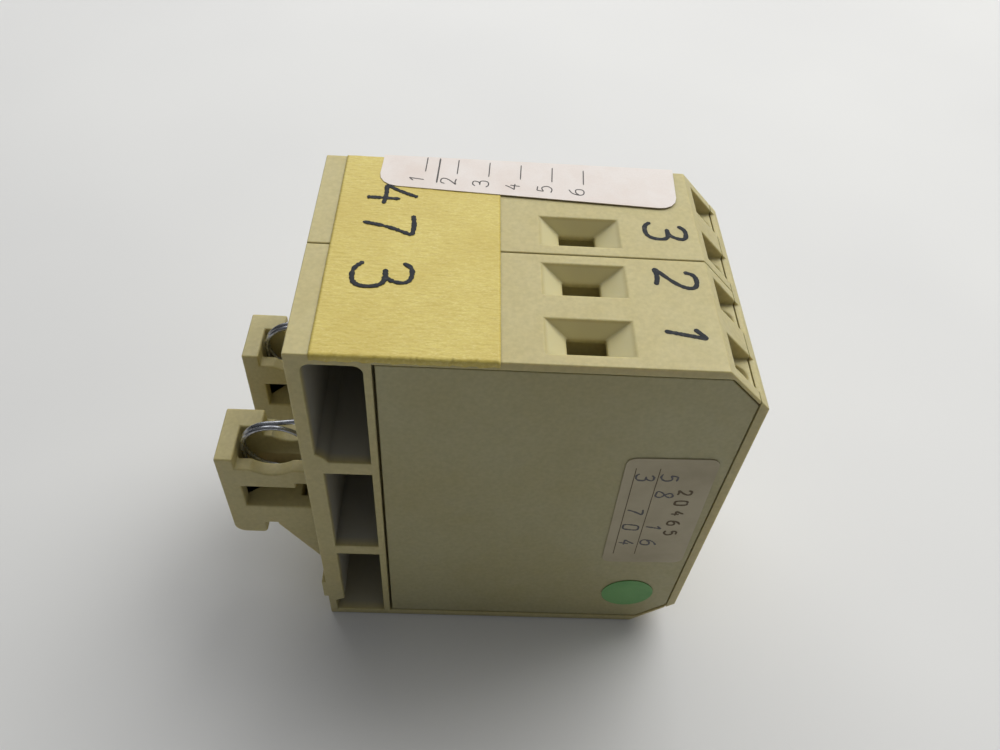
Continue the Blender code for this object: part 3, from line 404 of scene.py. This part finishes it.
def add_bead(bm, path, radius, page, roughness=0.0):
    """A flat bead of ink along a path in the page's plane, rounded at both ends."""
    section = ((-1, 0), (-0.8, 1), (0, 1.3), (0.8, 1), (1, 0), (0, -0.2))
    thickness = 0.015 * MM
    rings = []
    for index, point in enumerate(path):
        before, after = path[max(index - 1, 0)], path[min(index + 1, len(path) - 1)]
        forward = (after - before).normalized()
        side = page.out.cross(forward)
        from_end = min((point - path[0]).length, (point - path[-1]).length)
        inset = 1 - min(from_end / radius, 1)
        width = radius * max(math.sqrt(1 - inset * inset), 0.15)
        width *= 1 + roughness * noise.noise(point / (0.35 * MM))
        ring = [point + side * (u * width) + page.out * (v * thickness) for u, v in section]
        rings.append([bm.verts.new(corner) for corner in ring])
    for first, second in zip(rings, rings[1:]):
        for corner in range(len(section)):
            bm.faces.new((first[corner - 1], first[corner], second[corner], second[corner - 1]))
    bm.faces.new(rings[0])
    bm.faces.new(rings[-1])


def add_digit(bm, digit, page, across, height, size, radius, lean=0.0, roughness=0.0):
    """One handwritten digit whose lower left corner is at (across, height) on the page."""
    for stroke in DIGITS[digit]:
        points = []
        for u, v in stroke:
            points.append(page.place(across + (u + lean * v) * size, height + v * size, 0.02 * MM))
        add_bead(bm, spaced(smoothed(points), radius * 0.4), radius, page, roughness)


def add_rule(bm, page, start, end, radius):
    """A straight printed line between two places on the page."""
    path = [page.place(*start, 0.02 * MM), page.place(*end, 0.02 * MM)]
    add_bead(bm, spaced(path, radius * 2), radius, page)


def new_piece(name, bm, material, body="case", smooth=False):
    bmesh.ops.recalc_face_normals(bm, faces=bm.faces)
    mesh = bpy.data.meshes.new(name)
    bm.to_mesh(mesh)
    bm.free()
    if smooth:
        mesh.shade_smooth()
    mesh.materials.append(material)
    piece = bpy.data.objects.new(name, mesh)
    bpy.context.scene.collection.objects.link(piece)
    if body:
        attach(piece, body)
    return piece


# Tape

TAPE_LIFT = 0.17 * MM
CREPE = 0.07 * MM


def tape_path(distance, near, far):
    """Where the tape's middle surface is at a distance from the near fold, and the way out of it."""
    radius = 0.3 * MM
    quarter = radius * math.pi / 2
    flat = far - near - 2 * radius
    if distance < -quarter / 2:
        return Vector((0, near, TOP - radius + distance + quarter / 2)), Vector((0, -1, 0))
    if distance < quarter / 2:
        angle = (distance + quarter / 2) / radius
        out = Vector((0, -math.cos(angle), math.sin(angle)))
        return Vector((0, near + radius, TOP - radius)) + out * radius, out
    if distance < quarter / 2 + flat:
        return Vector((0, near + radius + distance - quarter / 2, TOP)), Vector((0, 0, 1))
    past = distance - quarter / 2 - flat
    if past < quarter:
        angle = past / radius
        out = Vector((0, math.sin(angle), math.cos(angle)))
        return Vector((0, far - radius, TOP - radius)) + out * radius, out
    return Vector((0, far, TOP - radius - (past - quarter))), Vector((0, 1, 0))


def crepe_height(along, across):
    """Crepe ridges run across the tape's length, broken up along their own length."""
    ridge = noise.noise(Vector((along / (1.3 * MM), across / (0.42 * MM), 0)))
    fine = noise.noise(Vector((along / (0.7 * MM), across / (0.24 * MM), 7)))
    swell = noise.noise(Vector((along / (9 * MM), across / (6 * MM), 3)))
    return 0.55 * ridge + 0.3 * fine + 0.5 * swell


def add_tape():
    """Creped masking tape over the top end, its near hem torn, its far hem hanging lower."""
    low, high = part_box("tape_band")
    columns, step = 64, 0.14 * MM
    far_length = (FAR_SIDE - NEAR_SIDE) + (TOP - low.z)
    bm = bmesh.new()
    grid = []
    for column in range(columns + 1):
        across = low.x + (high.x - low.x) * column / columns
        tear = 0.85 * MM + 0.35 * MM * noise.noise(Vector((across / (1.3 * MM), 0, 0)))
        tear += 0.18 * MM * noise.noise(Vector((across / (0.4 * MM), 5, 0)))
        rows = int((far_length + 1.2 * MM) / step)
        line = []
        for row in range(rows + 1):
            distance = -tear + (far_length + tear) * row / rows
            place, out = tape_path(distance, NEAR_SIDE, FAR_SIDE)
            lift = TAPE_LIFT + CREPE * min(max(0.3 + crepe_height(across, distance), -0.4), 1.0)
            edge = 0.05 * MM * noise.noise(Vector((distance / (0.8 * MM), column, 0)))
            wobble = edge if column in (0, columns) else 0.0
            line.append(bm.verts.new(place + Vector((across + wobble, 0, 0)) + out * lift))
        grid.append(line)
    for first, second in zip(grid, grid[1:]):
        for row in range(len(first) - 1):
            bm.faces.new((first[row], second[row], second[row + 1], first[row + 1]))
    tape = new_piece("creped_tape_band", bm, MATERIALS["tape"], smooth=True)
    thickness = tape.modifiers.new("thickness", "SOLIDIFY")
    thickness.thickness = 0.1 * MM
    thickness.offset = -1
    thickness.use_rim = True
    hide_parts("tape_band")


# Springs

SPRING_X, SPRING_Z = REAR - 6.35 * MM, 43.5 * MM
SPRING_RADIUS = 5.5 * MM
WIRE_RADIUS = 0.4 * MM
SPRING_TURNS = 1.25
SPRING_SPREAD = 1.1 * MM
SPRING_FOOT = 32.8 * MM
SPRING_ANCHOR_X, SPRING_ANCHOR_Z = REAR + 1.4 * MM, 49.6 * MM


def spring_path(side):
    """Centre line of a latch spring: a leg in the latch, the coil, and a level leg into the case."""
    low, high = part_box(f"latch_spring_{side}")
    near, far = low.y + WIRE_RADIUS, high.y - WIRE_RADIUS
    steps = 110
    leg = SPRING_Z - SPRING_FOOT
    points = [
        Vector((SPRING_X - SPRING_RADIUS, near, SPRING_FOOT + leg * share)) for share in (0, 0.4, 0.75)
    ]
    for step in range(steps + 1):
        angle = math.pi - 2 * math.pi * SPRING_TURNS * step / steps
        around = Vector((math.cos(angle), 0, math.sin(angle))) * SPRING_RADIUS
        points.append(Vector((SPRING_X, near + SPRING_SPREAD * step / steps, SPRING_Z)) + around)
    top = points[-1]
    end = Vector((SPRING_ANCHOR_X, far, SPRING_ANCHOR_Z))
    points += [top.lerp(end, share) for share in (0.35, 0.7, 1.0)]
    return points


def add_spring(side):
    curve = bpy.data.curves.new(f"coiled_spring_{side}", "CURVE")
    curve.dimensions = "3D"
    curve.bevel_depth = WIRE_RADIUS
    curve.bevel_resolution = 5
    curve.use_fill_caps = True
    points = spring_path(side)
    spline = curve.splines.new("POLY")
    spline.points.add(len(points) - 1)
    for point, place in zip(spline.points, points):
        point.co = (*place, 1)
    guide = bpy.data.objects.new("guide", curve)
    bpy.context.scene.collection.objects.link(guide)
    mesh = bpy.data.meshes.new_from_object(guide.evaluated_get(bpy.context.evaluated_depsgraph_get()))
    bpy.data.objects.remove(guide)
    bm = bmesh.new()
    bm.from_mesh(mesh)
    bmesh.ops.remove_doubles(bm, verts=bm.verts, dist=1e-7)
    spring = new_piece(f"coiled_spring_{side}", bm, MATERIALS["spring_steel"], body=None, smooth=True)
    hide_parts(f"latch_spring_{side}")
    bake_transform(spring)


# Far end of each latch's side slot

SLOT_X = (REAR - 12.2 * MM, REAR - 0.6 * MM)
SLOT_Z = (31.8 * MM, 37.7 * MM)
SLOT_WEB = 0.8 * MM
SLOT_WEB_INSET = 1.2 * MM


def add_slot_web(side):
    """A thin web that closes the latch's side slot just inside its far face."""
    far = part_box(f"rail_latch_{side}")[1].y - SLOT_WEB_INSET
    size = (SLOT_X[1] - SLOT_X[0], SLOT_WEB, SLOT_Z[1] - SLOT_Z[0])
    middle = (sum(SLOT_X) / 2, far - SLOT_WEB / 2, sum(SLOT_Z) / 2)
    bm = bmesh.new()
    place = Matrix.Translation(middle) @ Matrix.Diagonal((*size, 1.0))
    bmesh.ops.create_cube(bm, size=1.0, matrix=place)
    web = new_piece(f"slot_web_{side}", bm, MATERIALS["case"], body=f"latch_{side}")


# Writing on the tape, the case and the labels


def add_marks():
    """Marker digits on the tape and beside each wire funnel."""
    tape_page = Page((REAR + 7.8 * MM, 0, TOP + TAPE_LIFT + CREPE), (0, -1, 0), (1, 0, 0))
    bm = bmesh.new()
    for digit, start in (("4", -14.6 * MM), ("7", -6.8 * MM), ("3", 4 * MM)):
        add_digit(bm, digit, tape_page, start, 0, 8 * MM, 0.36 * MM, -0.06, 0.5)
    new_piece("tape_marks", bm, MATERIALS["ink"], smooth=True)
    case_page = Page((REAR, 0, TOP), (0, -1, 0), (1, 0, 0))
    bm = bmesh.new()
    digit = 0
    for module in ("near", "far"):
        for place in TERMINALS:
            digit += 1
            across = -(MODULE_STARTS[module] + place) - 3.3 * MM
            add_digit(bm, str(digit), case_page, across, 51.8 * MM, 6 * MM, 0.37 * MM, 0.1, 0.25)
    new_piece("terminal_marks", bm, MATERIALS["ink"], smooth=True)


def add_label_print():
    """Numbered ruled lines on the paper label, on its top part and on the part that hangs."""
    turn = Matrix.Rotation(math.radians(-3.2), 3, "Z")
    label_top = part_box("top_label")[1].z
    label_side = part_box("top_label")[1].y
    corner = (REAR + 34 * MM, 25.3 * MM, label_top)
    top_page = Page(corner, turn @ Vector((0, 1, 0)), turn @ Vector((-1, 0, 0)))
    hanging = Page((REAR + 34 * MM, label_side, TOP), (0, 0, -1), (-1, 0, 0))
    bm = bmesh.new()
    for row in range(6):
        height = 17 * MM - row * 5.2 * MM
        add_digit(bm, str(row + 1), top_page, -10.4 * MM, height, 2.4 * MM, 0.1 * MM)
        add_rule(bm, top_page, (-7.6 * MM, height), (-3.6 * MM, height), 0.09 * MM)
        add_rule(bm, hanging, (1.5 * MM, height), (9.4 * MM, height), 0.09 * MM)
    add_rule(bm, top_page, (-10.4 * MM, 14.9 * MM), (-3.6 * MM, 14.9 * MM), 0.13 * MM)
    new_piece("label_print", bm, MATERIALS["faded_ink"])


def add_test_label_print():
    """Two ruled lines, two rows of faded handwritten digits and a printed row on the small label."""
    low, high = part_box("test_label")
    turn = Matrix.Rotation(math.radians(-1.6), 3, "Y")
    middle = Vector(((low.x + high.x) / 2, low.y, (low.z + high.z) / 2))
    page = Page(middle, turn @ Vector((0, 0, -1)), turn @ Vector((1, 0, 0)))
    printed = bmesh.new()
    for height in (-5.5 * MM, -1.7 * MM):
        add_rule(printed, page, (-13.5 * MM, height), (13 * MM, height), 0.07 * MM)
    for index, digit in enumerate("20465"):
        add_digit(printed, digit, page, (-7.5 + 3.1 * index) * MM, 2.3 * MM, 2.1 * MM, 0.2 * MM, 0.0, 0.2)
    new_piece("test_label_print", printed, MATERIALS["brown_print"])
    written = bmesh.new()
    for digits, height in (("3 704", -5.1 * MM), ("58 16", -1.2 * MM)):
        for index, digit in enumerate(digits):
            if digit != " ":
                across = (-12 + 5.0 * index) * MM
                add_digit(written, digit, page, across, height, 2.7 * MM, 0.17 * MM, 0.15, 0.5)
    new_piece("test_label_digits", written, MATERIALS["pencil"])


# Front


def rounded_sheet(bm, low, high, x_low, x_high, radius=1 * MM):
    """A thin card standing square to x, with rounded corners."""
    corners = []
    square = ((high[0], high[1]), (low[0], high[1]), (low[0], low[1]), (high[0], low[1]))
    for quarter, (y, z) in enumerate(square):
        for step in range(5):
            angle = math.radians(90 * quarter + 22.5 * step)
            towards = Vector((math.cos(angle), math.sin(angle)))
            inward = Vector((1 if quarter in (0, 3) else -1, 1 if quarter in (0, 1) else -1))
            corners.append(Vector((y, z)) - inward * radius + towards * radius)
    rear = [bm.verts.new((x_low, y, z)) for y, z in corners]
    front = [bm.verts.new((x_high, y, z)) for y, z in corners]
    bm.faces.new(rear)
    bm.faces.new(front)
    for index in range(len(corners)):
        bm.faces.new((rear[index - 1], rear[index], front[index], front[index - 1]))


def add_front_card():
    """A blank label card in the front cover's field, with ruled lines and a number per module."""
    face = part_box("front_cover")[1].x
    bm = bmesh.new()
    rounded_sheet(bm, (-17.6 * MM, 22.4 * MM), (17.6 * MM, 43.6 * MM), face - 0.26 * MM, face - 0.08 * MM)
    new_piece("front_card", bm, MATERIALS["white_paper"])
    page = Page((face - 0.08 * MM, -17.6 * MM, 22.4 * MM), (0, 1, 0), (0, 0, 1))
    bm = bmesh.new()
    for row in (4, 8, 12, 16):
        add_rule(bm, page, (2 * MM, row * MM), (33.2 * MM, row * MM), 0.09 * MM)
    add_rule(bm, page, (17.6 * MM, 2 * MM), (17.6 * MM, 19 * MM), 0.09 * MM)
    lamp_page = Page((face, 0, 0), (0, 1, 0), (0, 0, 1))
    for digit, lamp in (("1", "power_lamp"), ("2", "relay_lamp")):
        low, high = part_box(lamp)
        across = (low.y + high.y) / 2 - 0.7 * MM
        add_digit(bm, digit, lamp_page, across, high.z + 1.6 * MM, 2.4 * MM, 0.13 * MM)
    new_piece("front_print", bm, MATERIALS["faded_ink"])


# Floor, light and camera

HORIZON_LIGHT, ZENITH_LIGHT = 0.0, 0.29
BACKDROP_LIGHT = 0.6


def add_stage():
    bpy.ops.mesh.primitive_plane_add(size=3, location=(0, 0, -0.0002))
    floor = bpy.context.object
    floor.name = "floor"
    tree = Tree("floor")
    cloud = tree.ramp(tree.noise(9, 2), 0.3, 0.7, 0.0, 1.0)
    tint = tree.mix(cloud, (0.77, 0.77, 0.76), (0.73, 0.73, 0.725))
    floor.data.materials.append(tree.finish(tint, 0.6))


def add_area_light(name, place, aim, size, power, colour=(1, 1, 1)):
    data = bpy.data.lights.new(name, "AREA")
    data.size = size
    data.energy = power
    data.color = colour
    light = bpy.data.objects.new(name, data)
    light.location = place
    light.rotation_euler = (Vector(aim) - Vector(place)).to_track_quat("-Z", "Y").to_euler()
    bpy.context.scene.collection.objects.link(light)


def add_world():
    """Soft light, brightest straight above and faint near the horizon, before a pale backdrop."""
    world = bpy.data.worlds.new("studio")
    world.use_nodes = True
    tree = world.node_tree
    direction = tree.nodes.new("ShaderNodeTexCoord").outputs["Generated"]
    axes = tree.nodes.new("ShaderNodeSeparateXYZ")
    tree.links.new(direction, axes.inputs["Vector"])
    strength = tree.nodes.new("ShaderNodeMapRange")
    strength.inputs["From Min"].default_value = 0.0
    strength.inputs["From Max"].default_value = 1.0
    strength.inputs["To Min"].default_value = HORIZON_LIGHT
    strength.inputs["To Max"].default_value = ZENITH_LIGHT
    tree.links.new(axes.outputs["Z"], strength.inputs["Value"])
    seen = tree.nodes.new("ShaderNodeLightPath").outputs["Is Camera Ray"]
    backdrop = tree.nodes.new("ShaderNodeMath")
    backdrop.operation = "MULTIPLY"
    backdrop.inputs[1].default_value = BACKDROP_LIGHT
    tree.links.new(seen, backdrop.inputs[0])
    brighter = tree.nodes.new("ShaderNodeMath")
    brighter.operation = "MAXIMUM"
    tree.links.new(strength.outputs["Result"], brighter.inputs[0])
    tree.links.new(backdrop.outputs["Value"], brighter.inputs[1])
    background = tree.nodes["Background"]
    background.inputs["Color"].default_value = (0.95, 0.97, 1.0, 1.0)
    tree.links.new(brighter.outputs["Value"], background.inputs["Strength"])
    bpy.context.scene.world = world


def add_light():
    add_world()
    add_area_light("key", (0.42, 0.36, 0.80), (0, 0, 0.05), 0.65, 6.2, (1.0, 0.99, 0.96))
    add_area_light("rear", (-0.2, 0.72, 0.62), (0, 0, 0.04), 0.8, 3.6)


def add_camera():
    """The photograph's viewpoint: close, high, in front of the open side, rolled a few degrees."""
    place = Vector((-2.54, -96.65, 158.14)) * MM
    aim = Vector((5.31, 8.64, 38.0)) * MM
    roll = math.radians(5.53)
    data = bpy.data.cameras.new("camera")
    data.lens = 30.1
    data.clip_start = 0.01
    camera = bpy.data.objects.new("camera", data)
    turn = (aim - place).to_track_quat("-Z", "Y").to_matrix().to_4x4()
    camera.matrix_world = Matrix.Translation(place) @ turn @ Matrix.Rotation(roll, 4, "Z")
    bpy.context.scene.collection.objects.link(camera)
    bpy.context.scene.camera = camera
    bpy.context.scene.view_settings.view_transform = "Standard"


def main():
    dress_cad_nodes()
    for name in ("housing_near", "housing_far"):
        round_edges(name, 0.22 * MM)
    for name in ("rail_latch_near", "rail_latch_far"):
        round_edges(name, 0.35 * MM)
    for name in ("side_cover_near", "side_cover_far"):
        round_edges(name, 0.2 * MM)
    round_edges("front_cover", 0.12 * MM)
    add_tape()
    for side in ("near", "far"):
        add_spring(side)
        add_slot_web(side)
    add_marks()
    add_label_print()
    add_test_label_print()
    add_front_card()
    add_stage()
    add_light()
    add_camera()


main()
